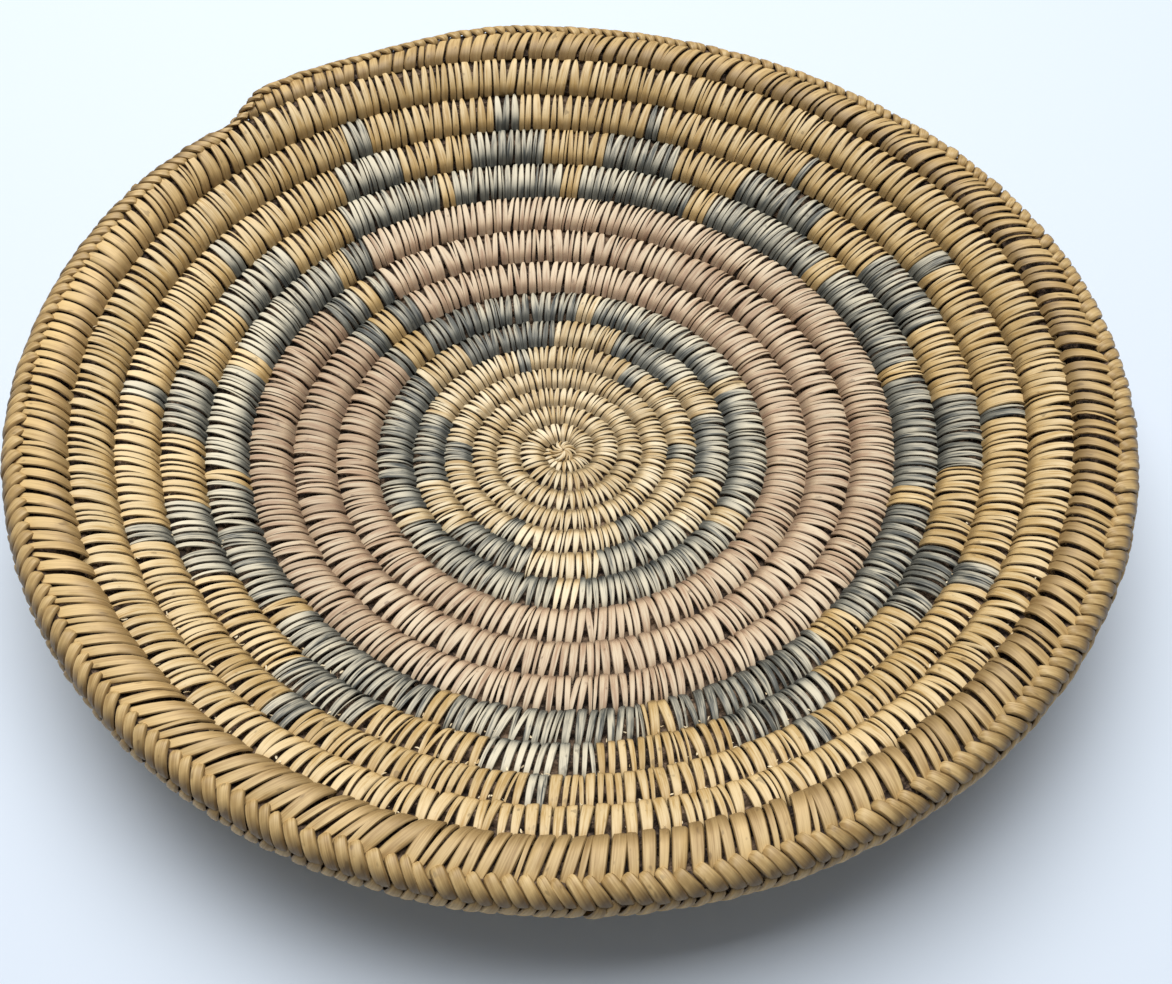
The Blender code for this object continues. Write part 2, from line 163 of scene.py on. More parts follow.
def sloped_points(along, above, place):
    """Radius and height of points on the bowl's even slope."""
    radius = radius_at(along)
    share = radius / RIM_RADIUS
    steepness = np.arctan(BOWL_CURVE * RIM_RISE / RIM_RADIUS * share ** (BOWL_CURVE - 1))
    lift = RIM_WARP * share**2 * np.cos(2 * np.radians(place - WARP_ANGLE))
    height = RIM_RISE * share**BOWL_CURVE + lift + above * np.cos(steepness)
    return radius - above * np.sin(steepness), height


def rim_flare(place):
    """How far the rim coil is turned outward about its inner groove, in radians."""
    angle = place - RIM_START
    left = (RIM_END_ANGLE - angle) / (RIM_END_ANGLE - RIM_TAPER_ANGLE)
    return math.radians(RIM_FLARE_ANGLE) * eased(angle / RIM_GROWTH_ANGLE) * eased(left)


def bowl_points(along, above, place):
    """Points by their distance along the bowl, height above its middle surface and degrees wound."""
    reach, height = sloped_points(along, above, place)
    hinge = edge(place - FULL_TURN)
    hinge_reach, hinge_height = sloped_points(hinge, 0, place)
    off_hinge = np.maximum(along - hinge, 0) / (HINGE_SHARE * coil_width(place))
    flare = rim_flare(place) * (1 - np.exp(-off_hinge))
    out, up = reach - hinge_reach, height - hinge_height
    reach = hinge_reach + out * np.cos(flare) + up * np.sin(flare)
    height = hinge_height + up * np.cos(flare) - out * np.sin(flare)
    turned = np.radians(place + PATHWAY_ANGLE)
    return np.stack([
        coil_centre.x + reach * np.cos(turned),
        coil_centre.y + reach * np.sin(turned),
        np.maximum(height, FLOOR) - FLOOR,
    ], axis=-1)


print("The coil starts at", [round(c / MM, 1) for c in coil_centre[:2]], "mm")

# %% [markdown]
# ## The chart of colours
# A basket maker counts stitches. A chart does the same here: for each turn, the angle past the
# pathway at which each run of one colour ends, and the field that it belongs to. The fields carry
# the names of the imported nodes, so each piece of sewing replaces the plain sleeve of the same name.
#
# A texture of angle and radius could paint the pattern on. Then a stitch would change colour halfway.
# In sewing it never does, so the chart is read once for each whole stitch.

# %% Rows with dark runs between undyed ones
INNER_PEAKS = ((37.6, 47.3), (97.7, 108.1), (158.3, 167), (213.8, 222.1), (268.5, 277.3), (326.9, 333.4))
INNER_BLOCKS = ((24.6, 59.6), (85, 116.1), (143.1, 178.2), (203.4, 235.3), (257.1, 289.2), (312.7, 348.5))
INNER_NOTCHES = ((68.7, 74.2), (127.6, 134), (186.9, 192.5), (242.2, 247.8), (299.6, 303.7))
OUTER_NOTCHES = ((26.3, 30.1), (51.9, 55.7), (80.1, 83.9), (110, 113.8), (141.4, 145.2), (170.9, 177.8),
                 (201.2, 205), (227.5, 231.3), (254.6, 258.4), (281.8, 285.6), (307, 310.4), (330.3, 333.5))
OUTER_BLOCKS = ((4.9, 20.1), (34.2, 47.3), (59.2, 72.9), (90.8, 103.7), (119.4, 134.4), (151, 165),
                (180.9, 193.8), (207.3, 221.5), (235.5, 250.9), (263.5, 278.9), (290, 302.5),
                (313.5, 325.3), (337.6, 348.3))
OUTER_PEAKS = ((10.5, 13.5), (39.9, 42.9), (64.2, 67.2), (94.3, 99.1), (125.7, 128.7), (156.8, 159.8),
               (187.2, 190.2), (214.4, 217.4), (242.9, 245.9), (269.6, 271.4), (294.5, 296.9),
               (317.6, 320.6), (341, 344))
CENTRE_TURNS = (1, 2, 3, 4)
chart = {turn: [(FULL_TURN, "natural_centre")] for turn in CENTRE_TURNS}


def stepped_row(turn, ring, spans):
    """A row in which each dark run of a ring stands between two undyed ones."""
    runs = []
    for k, (start, end) in enumerate(spans):
        runs.append((start, f"{ring}_natural_step_{k or len(spans)}"))
        runs.append((end, f"{ring}_dark_step_{k + 1}"))
    runs.append((FULL_TURN, f"{ring}_natural_step_{len(spans)}"))
    chart[turn] = runs


def base_row(turn, ring, notches, start, end, before, after):
    """A dark row that undyed notches divide among a ring's steps."""
    runs = [(start, before)]
    for k, (low, high) in enumerate(notches):
        runs.append((low, f"{ring}_dark_step_{k + 1}"))
        runs.append((high, f"{ring}_natural_step_{k + 1}"))
    runs.append((end, f"{ring}_dark_step_{len(notches) + 1}"))
    runs.append((FULL_TURN, after))
    chart[turn] = runs


def red_row(turn, red, path_end, right_end, red_end, left_end):
    """A red row: the pathway, a dark border, the red, a dark border and the pathway again."""
    chart[turn] = [(path_end, "pathway"), (right_end, "pathway_border_right"), (red_end, red),
                   (left_end, "pathway_border_left"), (FULL_TURN, "pathway")]


stepped_row(5, "inner", INNER_PEAKS)
stepped_row(6, "inner", INNER_BLOCKS)
base_row(7, "inner", INNER_NOTCHES, 11.1, 357.5, "inner_natural_step_6", "pathway")
red_row(8, "red_row_1", 4.8, 10.6, 352, 357.2)
red_row(9, "red_row_2", 3.3, 10, 352.4, 357.6)
red_row(10, "red_row_3", 1.8, 9.5, 351.7, 356.9)
base_row(11, "outer", OUTER_NOTCHES, 0, 351.5, "outer_dark_step_1", "outer_natural_step_13")
stepped_row(12, "outer", OUTER_BLOCKS)
stepped_row(13, "outer", OUTER_PEAKS)
chart[14] = [(FULL_TURN, "natural_row")]
chart[15] = [(FULL_TURN, "rim_coil")]


def field_at(place):
    """The field of the stitch whose middle is at a place on the coil."""
    turn = int(place // FULL_TURN) + 1
    angle = place - (turn - 1) * FULL_TURN
    return next(field for end, field in chart[turn] if angle <= end)


fields = sorted({field for runs in chart.values() for _, field in runs})
print(len(fields), "fields of colour:", ", ".join(fields))

# %% [markdown]
# ## One stitch
# A splint leaves the groove at the row's inner edge, where it passed through the row before, goes
# over the rods, narrows and dives into the groove at the outer edge, and comes back underneath. So
# a stitch is a closed band round the coil. Its section is a flat crown with two sloping edges.
#
# Six points for the section, spun round eighteen steps, make the band. The spin gives clean quads
# and keeps each point's number on it, which later says what part of the splint it is. A hundred
# faces are enough for a piece four millimetres wide.

# %% The band, modelled straight
STITCH_STEPS = 18
BAND_RADIUS = 10  # only the direction of its points counts
SECTION = ((-1.0, -0.42), (-0.84, -0.06), (0.0, 0.05), (0.84, -0.06), (1.0, -0.42), (0.0, -0.8))
SHARP_ANGLE = math.radians(42)  # between the crown of a splint and its cut edges


def ring_mesh(section, steps):
    """A band: the section's points joined in a loop and spun once round the Z axis."""
    band = bmesh.new()
    number = band.verts.layers.int.new("section_point")
    points = []
    for k, (across, lift) in enumerate(section):
        point = band.verts.new((BAND_RADIUS + lift, 0, across))
        point[number] = k
        points.append(point)
    edges = [band.edges.new((a, b)) for a, b in zip(points, points[1:] + points[:1])]
    bmesh.ops.spin(band, geom=points + edges, cent=(0, 0, 0), axis=(0, 0, 1), dvec=(0, 0, 0),
                   angle=2 * math.pi, steps=steps, use_merge=True, use_duplicate=False)
    bmesh.ops.recalc_face_normals(band, faces=band.faces)
    return band


def as_mesh(name, made):
    mesh = bpy.data.meshes.new(name)
    made.to_mesh(mesh)
    made.free()
    mesh.shade_smooth()
    mesh.set_sharp_from_angle(angle=SHARP_ANGLE)
    return mesh


def coordinates(mesh):
    values = np.zeros(len(mesh.vertices) * 3, np.float32)
    mesh.vertices.foreach_get("co", values)
    return values.reshape(-1, 3)


stitch_mesh = as_mesh("straight_stitch", ring_mesh(SECTION, STITCH_STEPS))
stitch_points = coordinates(stitch_mesh)
stitch_angle = np.degrees(np.arctan2(stitch_points[:, 1], stitch_points[:, 0]))
stitch_station = np.round(stitch_angle * STITCH_STEPS / FULL_TURN).astype(int) % STITCH_STEPS
stitch_section = np.zeros(len(stitch_points), np.int32)
stitch_mesh.attributes["section_point"].data.foreach_get("value", stitch_section)
print("One stitch has", len(stitch_mesh.polygons), "faces")

# %% [markdown]
# ## Placing the stitches
# Stitches are sewn one after another, so they are placed by a loop that walks along the coil: each
# takes the next few millimetres, wider on the broad rows than in the middle. No two splints are
# alike. Their widths come from a seeded random draw, and every ten to twenty stitches the splint
# runs out and the next one has a slightly different colour.

# %% Walk along the coil
STITCH_WIDTHS = tuple(w * MM for w in (1.55, 1.75, 1.85, 1.9, 2.0, 2.05, 2.15, 2.45, 2.65, 2.2,
                                       2.25, 2.5, 2.75, 3.05, 3.75))
WIDTH_MEAN = 1.04
WIDTH_SPREAD = 0.2
WIDTH_LIMITS = (0.35, 1.5)
SLIVER_CHANCE = 0.1
SLIVER_WIDTHS = (0.35, 0.6)
FIRST_SPLINT_STITCHES = 12
SPLINT_STITCHES = (9, 20)
SPLINT_TONE_SPREAD = 0.6  # from splint to splint
STITCH_TONE_SPREAD = 0.6  # from stitch to stitch
SEEDS = (0, 100)
NEAR_SIDE_ANGLE = 127  # past the pathway
WORN_PATCH_ANGLE = 123  # where hands have worn the outer dark ring almost white
WORN_PATCH_SPREAD = 9
WORN_PATCH_TONE = 2.2
SIDE_PLACES = (0, 37, 80, 127, 170, 217, 262, 307, 360)  # the tones by side: partly uneven fading round the basket, partly painted light and shade round the bowl
SIDE_FADING_AND_PAINTED_LIGHT = {
    "outer_dark": (1.4, 2.7, 1.0, 0.1, -0.3, -0.2, 0.7, 1.3, 1.3),
    "inner_dark": (0.4, 0.4, 1.0, 1.6, 1.4, 1.6, 1.2, 0.6, 0.4),
    "inner_natural": (0.0, 0.0, 0.8, 1.6, 0.8, 0.0, 0.0, 0.0, 0.0),
    "red_row": (0.2, -1.0, 0.4, 1.3, 0.5, 0.0, 0.6, 2.2, 0.8),
    "outer_natural": (0.8, 3.8, 1.2, -1.0, 0.0, 0.4, 0.4, -0.5, 0.4),
    "natural_row": (0.8, 0.9, 0.8, 1.5, 0.7, 0.1, 0.3, 0.2, 0.5),
    "rim_coil": (1.0, 4.0, 2.0, 0.4, 0.1, 0.0, 0.2, 0.0, 0.5),
}
GREY_PATCH_TURN = 9  # a duller length of splint in the second red row
GREY_PATCH_TONE = 2
GREY_PATCH_ANGLE = 271
GREY_PATCH_SPREAD = 14
FIRST_STITCH = 20
LAST_STITCH = COIL_END - 3
draw = np.random.default_rng(7)


def walk(first, last):
    """Middle, half width in degrees, splint number and turn of each stitch."""
    stitches = []
    place, splint, left = first, 0, FIRST_SPLINT_STITCHES
    while place < last:
        turn = int(place // FULL_TURN) + 1
        spread = draw.normal(WIDTH_MEAN, WIDTH_SPREAD)
        if draw.random() < SLIVER_CHANCE:
            spread = draw.uniform(*SLIVER_WIDTHS)
        width = STITCH_WIDTHS[turn - 1] * float(np.clip(spread, *WIDTH_LIMITS))
        middle = float(edge(place) + edge(place - FULL_TURN)) / 2
        half = math.degrees(width / float(radius_at(middle))) / 2
        stitches.append((place + half, half, splint, turn))
        place += 2 * half
        left -= 1
        if left == 0:
            splint += 1
            left = int(draw.integers(*SPLINT_STITCHES))
    return stitches


stitches = walk(FIRST_STITCH, LAST_STITCH)
stitch_place, stitch_half, stitch_splint, stitch_turn = (np.array(c, float) for c in zip(*stitches))
stitch_field = np.array([field_at(place) for place in stitch_place])
splint_tone = draw.normal(0, 1, int(stitch_splint.max()) + 1)
stitch_tone = SPLINT_TONE_SPREAD * splint_tone[stitch_splint.astype(int)]
stitch_tone += draw.normal(0, STITCH_TONE_SPREAD, len(stitches))
side_place = stitch_place % FULL_TURN
# Tones by side: partly fading, partly painted light and shade that differ round the bowl
for beginning, tones in SIDE_FADING_AND_PAINTED_LIGHT.items():
    stitch_tone += np.char.startswith(stitch_field, beginning) * np.interp(side_place, SIDE_PLACES, tones)
outer_dark = np.char.startswith(stitch_field, "outer_dark")
off_worn_patch = (side_place - WORN_PATCH_ANGLE) / WORN_PATCH_SPREAD
stitch_tone += WORN_PATCH_TONE * outer_dark * np.exp(-off_worn_patch ** 2)
in_grey_patch = (stitch_turn == GREY_PATCH_TURN) & (np.abs(side_place - GREY_PATCH_ANGLE) < GREY_PATCH_SPREAD)
stitch_tone -= GREY_PATCH_TONE * in_grey_patch
near_side = 0.5 + 0.5 * np.cos(np.radians(stitch_place - NEAR_SIDE_ANGLE))
stitch_seed = draw.uniform(*SEEDS, len(stitches))
print(len(stitches), "stitches on the coil")

# %% [markdown]
# ## The path of a stitch round the coil
# Each of the band's stations has a place in the coil's section: how far across the row, how high,
# and how wide the splint is there. The head laps a millimetre over the row before. The tail
# narrows, so that it fits between the heads of the next row and leaves small dark wedges.

# %% Stations round the coil
# Each is: share of the row's width, number of laps back, share of the half thickness, share of the
# stitch's width, and how far the head or tail is rounded off, in laps
STATIONS = (
    (0.00, 1.30, 0.14, 0.80, 0.10),
    (0.00, 1.00, 0.48, 0.93, 0.30),
    (0.04, 0.00, 0.69, 1.00, 0.00),
    (0.12, 0.00, 0.84, 1.00, 0.00),
    (0.22, 0.00, 0.94, 0.99, 0.00),
    (0.34, 0.00, 0.99, 0.96, 0.00),
    (0.47, 0.00, 1.00, 0.92, 0.00),
    (0.60, 0.00, 0.97, 0.86, 0.00),
    (0.72, 0.00, 0.90, 0.78, 0.00),
    (0.83, 0.00, 0.77, 0.68, 0.00),
    (0.93, 0.00, 0.57, 0.54, -0.25),
    (1.01, 0.00, 0.18, 0.34, -0.80),
    (1.01, 0.00, -0.30, 0.40, -0.70),
    (0.85, 0.00, -0.78, 0.66, 0.00),
    (0.62, 0.00, -0.97, 0.86, 0.00),
    (0.38, 0.00, -0.97, 0.95, 0.00),
    (0.12, 0.00, -0.78, 1.00, 0.00),
    (0.00, 1.00, -0.50, 0.86, 0.30),
)
HEAD_LAP = 0.85 * MM
HEAD_LAP_SHARE = 0.16  # at most, of the row's width
UPPER_STATIONS = 12  # from the head to the tail
CLEARANCE_SHARE = 0.05
NEAR_CLEARANCES = ((9, 11, 12, 13, 14), (0.0, 0.08, 0.17, 0.06, 0.03))  # more on the near side, by row
RIM_CLEARANCE_SHARE = 0.07
SPARSE_CLEARANCE_SHARE = 0.2  # more where the rim is sewn sparsely
SPARSE_ANGLE = 225
SPARSE_SPREAD = 50
STRAIGHT_SHARE = 0.14  # a stitch comes straight out of the groove before it leans
LEAST_WIDTH_SHARE = 0.12
RIM_BULGE = 0.16  # the rim coil is rounder on top
LEAN_REACH = 1.08  # widths of the row over which a stitch leans
RETURN_SHARE = 0.95  # of its lean that a stitch gives back underneath
ROW_LEANS = ((0, 4, 7, 8, 9, 9.8, 10.5, 12, 14), (6, 8, 9, 6, 6, 13, 9, 6, 7))  # turns and degrees
RIM_LEANS = ((0, 30, 60, 95, 115, 125, 135, 200, 270, 330, 358),
             (10, 18, 36, 42, 33, 22, 14, 14, 20, 24, 14))
LAP_MARK = 0.04  # a lap is marked as this share of the row
station_across, station_laps, station_height, station_width, station_round = np.array(STATIONS).T
section_across, section_drop = np.array(SECTION).T


def loop_normals(across, above):
    """Unit normals, pointing out, of closed loops of points in the coil's section."""
    along = np.roll(across, -1, axis=1) - np.roll(across, 1, axis=1)
    up = np.roll(above, -1, axis=1) - np.roll(above, 1, axis=1)
    length = np.hypot(along, up)
    return -up / length, along / length


def stitch_lean(place):
    """How far a stitch leans, in degrees: its outer end lags behind its inner end."""
    turn = place / FULL_TURN
    angle = place - RIM_START
    return np.where(angle > 0, np.interp(angle, *RIM_LEANS), np.interp(turn, *ROW_LEANS))


def wound_stitches(chosen):
    """Points and attributes of the chosen stitches' bands, wound onto the coil."""
    def each(values):
        return values[chosen][:, None]

    place = each(stitch_place)
    half = each(stitch_half)
    count = len(place)
    inner = edge(place - FULL_TURN)
    width = coil_width(place)
    thick = half_thickness(place)
    lap = np.minimum(HEAD_LAP, HEAD_LAP_SHARE * width) * each(stitch_lap)
    across = station_across * width - station_laps * lap
    bulge = 1 + RIM_BULGE * (place > RIM_START) * (station_height > 0) * np.sin(np.pi * station_across)
    above = station_height * thick * bulge + each(stitch_lift) * np.sign(station_height)
    out_across, out_above = loop_normals(across, above)
    path = np.hypot(np.diff(across, axis=1), np.diff(above, axis=1))
    along_splint = np.concatenate([np.zeros((count, 1)), np.cumsum(path, axis=1)], axis=1)

    narrowing = np.maximum(1 - (1 - station_width) * each(stitch_taper), LEAST_WIDTH_SHARE)
    middle_radius = radius_at(inner + width / 2)
    fan = np.minimum(1, middle_radius / np.maximum(radius_at(inner + across), MM))
    sparse = np.exp(-((place - RIM_START - SPARSE_ANGLE) / SPARSE_SPREAD) ** 2)
    rim_clearance = RIM_CLEARANCE_SHARE + SPARSE_CLEARANCE_SHARE * sparse
    near_clearance = np.interp(each(stitch_turn), *NEAR_CLEARANCES) * each(near_side)
    clearance = np.where(place > RIM_START, rim_clearance, CLEARANCE_SHARE + near_clearance)
    station_half = half * narrowing * fan * (1 - clearance)
    lean = np.tan(np.radians(stitch_lean(place) + each(stitch_slant)))
    laid = np.linalg.norm(np.diff(bowl_points(inner + across, above, place), axis=1), axis=2)
    laid = np.concatenate([np.zeros((count, 1)), np.cumsum(laid, axis=1)], axis=1)
    tail = laid[:, UPPER_STATIONS - 1:UPPER_STATIONS]
    back = (laid - tail) / (laid[:, -1:] - tail)
    sewn = np.where(np.arange(STITCH_STEPS) < UPPER_STATIONS, laid / tail, 1 - RETURN_SHARE * back)
    leant = np.maximum(sewn - STRAIGHT_SHARE, 0) / (1 - STRAIGHT_SHARE)
    lag = np.degrees(lean * (leant - 0.5) * LEAN_REACH * width / middle_radius)

    j, k = stitch_section, stitch_station
    edge_wise = np.abs(section_across[j])
    point_across = across[:, k] + (edge_wise == 1) * station_round[k] * lap
    drop = section_drop[j] * MM * each(stitch_crown)
    tilt = section_across[j] * each(stitch_tilt)
    point_across = point_across + (drop + tilt) * out_across[:, k]
    point_above = above[:, k] + (drop + tilt) * out_above[:, k]
    angle = place + station_half[:, k] * section_across[j] - lag[:, k]
    points = bowl_points(inner + point_across, point_above, angle)

    half_mm = np.radians(station_half) * middle_radius / MM
    zeros = np.zeros((count, len(j)))
    fibre = np.stack([along_splint[:, k] / MM, half_mm[:, k] * section_across[j],
                      each(stitch_seed) + zeros], axis=-1)
    share = np.clip(station_across[k] - LAP_MARK * station_laps[k], 0, 1)
    marks = np.stack([edge_wise + zeros, share + zeros, each(stitch_tone) + zeros], axis=-1)
    return points, fibre, marks


# %% How the stitches differ
# Laps and crowns have limits only. The others have a mean, a spread and limits.
LAPS = (0.75, 1.25)
LIFTS = (0, 0.17, -0.32, 0.34)  # mm
TAPERS = (1.0, 0.32, 0.2, 1.5)
SLANTS = (0, 3.5, -8, 8)
CROWNS = (0.75, 1.15)
TILTS = (0, 0.13, -0.26, 0.26)  # mm
RIM_TAPER = 1.2
ROW_TAPER = 1.1
NEAR_BLUNTNESS = ((6, 8, 11), (0.2, 0.4, 0.6))  # tails are blunter on the near side, by row


def varied(mean, spread, low, high, shape=None):
    """Random values about a mean, kept between two limits."""
    return np.clip(draw.normal(mean, spread, shape), low, high)


stitch_lap = draw.uniform(*LAPS, len(stitches))
stitch_lift = varied(*LIFTS, len(stitches)) * MM
stitch_taper = varied(*TAPERS, len(stitches))
row_taper = ROW_TAPER - np.interp(stitch_turn, *NEAR_BLUNTNESS) * near_side
stitch_taper *= np.where(stitch_turn == TURNS, RIM_TAPER, row_taper)
stitch_slant = varied(*SLANTS, len(stitches))
stitch_crown = draw.uniform(*CROWNS, len(stitches))
stitch_tilt = varied(*TILTS, len(stitches)) * MM
print("Leans at the rim:", [round(float(stitch_lean(RIM_START + angle))) for angle in (20, 110, 130, 340)])

# %% Copies on the coil
def copies(source, count):
    """A mesh that repeats another, with an Array modifier, and every copy's points in order."""
    holder = bpy.data.objects.new("copies", source)
    array = holder.modifiers.new("Copies", "ARRAY")
    array.count = count
    array.use_relative_offset = False
    array.use_constant_offset = True
    link(holder)
    bpy.context.view_layer.update()
    ready = holder.evaluated_get(bpy.context.evaluated_depsgraph_get())
    repeated = bpy.data.meshes.new_from_object(ready)
    bpy.data.objects.remove(holder)
    return repeated


def set_points(mesh, points, fibre, marks):
    """Moves a mesh's points to their place and writes what each says of its splint."""
    mesh.vertices.foreach_set("co", points.astype(np.float32).ravel())
    for name, values in (("fibre", fibre), ("marks", marks)):
        layer = mesh.attributes.new(name, "FLOAT_VECTOR", "POINT")
        layer.data.foreach_set("vector", values.astype(np.float32).ravel())
    mesh.set_sharp_from_angle(angle=SHARP_ANGLE)
    mesh.update()


def add_piece(name, mesh, finish, slot, *nodes):
    """A finished piece of the basket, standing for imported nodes."""
    mesh.name = name
    mesh.materials.clear()
    mesh.materials.append(finish)
    piece = bpy.data.objects.new(name, mesh)
    link(piece)
    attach(piece, "root")
    if nodes:
        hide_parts(*nodes)
    return piece


print("Each piece rides on the basket's root node, since nothing on a basket moves")

# %% [markdown]
# ## Finishes
# Sumac splints are split from young shoots and scraped flat. The wood is straight-grained, so its
# fibres run along the stitch, and it is satin where hands have polished it. The dyed splints have
# faded: the black to blue-grey with pale crowns, partly worn and partly a painted highlight, the red to a
# dusty pink.
#
# Each stitch carries two attributes. "fibre" is the place on the splint in millimetres, along and
# across, and a seed. "marks" is how near the splint's edge, how far across the row, and the tone of
# that splint. With these a noise texture follows every splint round the coil, which no projection
# from outside could do.

# %% Colour and node helpers
def linear(hex_colour):
    """An sRGB hex colour as linear RGBA."""
    channels = [int(hex_colour[k:k + 2], 16) / 255 for k in (1, 3, 5)]
    return (*(c / 12.92 if c <= 0.04045 else ((c + 0.055) / 1.055) ** 2.4 for c in channels), 1)


def add(tree, kind, links=(), **settings):
    """Adds a node with its settings. Each link is a socket's name or number and a value or an output."""
    node = tree.nodes.new(kind)
    for name, value in settings.items():
        setattr(node, name, value)
    for socket, value in links:
        if isinstance(value, bpy.types.NodeSocket):
            tree.links.new(value, node.inputs[socket])
        else:
            node.inputs[socket].default_value = value
    return node


def new_material(name):
    """An empty material and its node tree."""
    material = bpy.data.materials.new(name)
    material.use_nodes = True
    material.node_tree.nodes.clear()
    return material, material.node_tree


def calculated(tree, operation, *values):
    """A Math node's result, from values or outputs."""
    return add(tree, "ShaderNodeMath", enumerate(values), operation=operation).outputs[0]


def mapped(tree, value, limits, top=1.0, smooth=False):
    """A share from 0 to top, by where a value lies between two limits."""
    low, high = limits
    links = [("Value", value), ("From Min", low), ("From Max", high), ("To Max", top)]
    kind = "SMOOTHSTEP" if smooth else "LINEAR"
    return add(tree, "ShaderNodeMapRange", links, interpolation_type=kind).outputs[0]


def mixed(tree, share, first, second):
    """The first colour, with a share of the second."""
    links = [("Factor", share), (6, first), (7, second)]
    return add(tree, "ShaderNodeMix", links, data_type="RGBA").outputs[2]


def noise(tree, where, detail, scale=1.0, roughness=0.5, stretch=None):
    """Noise at a place, which may first be stretched along, across and by seed."""
    if stretch:
        where = add(tree, "ShaderNodeVectorMath", [(0, where), (1, stretch)], operation="MULTIPLY").outputs[0]
    links = [("Vector", where), ("Scale", scale), ("Detail", detail), ("Roughness", roughness)]
    return add(tree, "ShaderNodeTexNoise", links).outputs["Fac"]


def surface(tree, colour, roughness, ior, relief, depth, strength):
    """A surface of a colour, with a fine relief in its shading."""
    bump = add(tree, "ShaderNodeBump", [("Height", relief), ("Distance", depth), ("Strength", strength)])
    links = [("Base Color", colour), ("Roughness", roughness), ("IOR", ior), ("Normal", bump.outputs[0])]
    shader = add(tree, "ShaderNodeBsdfPrincipled", links)
    add(tree, "ShaderNodeOutputMaterial", [("Surface", shader.outputs[0])])


print("Tan in linear light:", [round(c, 3) for c in linear("#d2b078")])


# %% Split sumac splints
# Satin wood: an IOR of 1.5 as most wood finishes, roughness about a half, and fibres 0.4 mm wide,
# with paler and darker bands 1.3 mm wide
FIBRES_PER_MM = 2.4
FIBRE_STRETCH = 0.035
FIBRE_SHARE = 0.55
FIBRE_DEPTH = 0.06 * MM
BANDS_PER_MM = 0.75
BAND_STRETCH = 0.12
BAND_SHARE = 0.45
GRAIN_LIMITS = (0.36, 0.64)
CROWN = 0.66  # the most worn place across the row, where the painted highlight is brightest too
CROWN_LIMITS = (0.6, 0.15)  # none and all of the wear and painted highlight, away from it
WEAR_AND_HIGHLIGHT_SHIFT = 0.05  # how much more of a pale splint is worn and painted with highlight
WEAR_AND_HIGHLIGHT_LIMITS = (0.43, 0.6)
# A splint darkens towards its cut edges and its ends in the grooves: partly dirt, partly painted shade
# between the stitches and down in the grooves
EDGE_DIRT_AND_SHADE_LIMITS = (0.72, 1.0)
END_DIRT_AND_SHADE_LIMITS = (0.42, 0.72)
MOST_DIRT_AND_SHADE = 0.75
SPOTS_PER_MM = 0.6  # small brown flaws in the wood
SPOT_LIMITS = (0.69, 0.76)
MOST_SPOT = 0.4
WOOD_IOR = 1.5
FIBRE_ROUGHNESS = 0.6
FIBRE_RELIEF = 0.6


def splint_material(name, light, dark, wear_and_highlight_colour, dirt_and_shade_colour, wear_and_highlight, tone_strength, roughness):
    """Splint wood: light and dark fibres, pale crowns that are partly wear and partly a painted highlight,
    and darker edges and ends that are partly dirt and dye and partly painted shade.
    """
    material, tree = new_material(name)
    fibre = add(tree, "ShaderNodeAttribute", attribute_name="fibre").outputs["Vector"]
    marks = add(tree, "ShaderNodeAttribute", attribute_name="marks").outputs["Vector"]
    to_edge, across_row, tone = add(tree, "ShaderNodeSeparateXYZ", [(0, marks)]).outputs
    stretch = (FIBRE_STRETCH * FIBRES_PER_MM, FIBRES_PER_MM, 1)
    fibres = noise(tree, fibre, 3, roughness=FIBRE_ROUGHNESS, stretch=stretch)
    bands = noise(tree, fibre, 2, stretch=(BAND_STRETCH, BANDS_PER_MM, 1))
    bands = calculated(tree, "MULTIPLY", bands, BAND_SHARE)
    grain = calculated(tree, "MULTIPLY_ADD", fibres, FIBRE_SHARE, bands)
    wood = mixed(tree, mapped(tree, grain, GRAIN_LIMITS), linear(dark), linear(light))

    # Pale crowns: partly wear, partly a painted highlight on the tops of the stitches, where the light from
    # overhead falls
    off_crown = calculated(tree, "ABSOLUTE", calculated(tree, "SUBTRACT", across_row, CROWN))
    crown = mapped(tree, off_crown, CROWN_LIMITS, smooth=True)
    rubbed_and_highlit = mapped(tree, calculated(tree, "MULTIPLY_ADD", tone, WEAR_AND_HIGHLIGHT_SHIFT, grain), WEAR_AND_HIGHLIGHT_LIMITS)
    wear_and_highlight_share = calculated(tree, "MULTIPLY", calculated(tree, "MULTIPLY", crown, rubbed_and_highlit), wear_and_highlight)
    wood = mixed(tree, wear_and_highlight_share, wood, linear(wear_and_highlight_colour))

    # Darker edges and ends: partly dirt, partly painted shade between the stitches and in the grooves
    edge_dirt_and_shade = mapped(tree, to_edge, EDGE_DIRT_AND_SHADE_LIMITS, MOST_DIRT_AND_SHADE)
    end_dirt_and_shade = mapped(tree, off_crown, END_DIRT_AND_SHADE_LIMITS, MOST_DIRT_AND_SHADE)
    wood = mixed(tree, calculated(tree, "MAXIMUM", edge_dirt_and_shade, end_dirt_and_shade), wood, linear(dirt_and_shade_colour))
    spots = noise(tree, fibre, 1, stretch=(SPOTS_PER_MM / 2, SPOTS_PER_MM, 1))
    wood = mixed(tree, mapped(tree, spots, SPOT_LIMITS, MOST_SPOT), wood, linear(dirt_and_shade_colour))
    value = calculated(tree, "MULTIPLY_ADD", tone, tone_strength, 1)
    wood = add(tree, "ShaderNodeHueSaturation", [("Color", wood), ("Value", value)]).outputs[0]
    surface(tree, wood, roughness, WOOD_IOR, fibres, FIBRE_DEPTH, FIBRE_RELIEF)
    return material


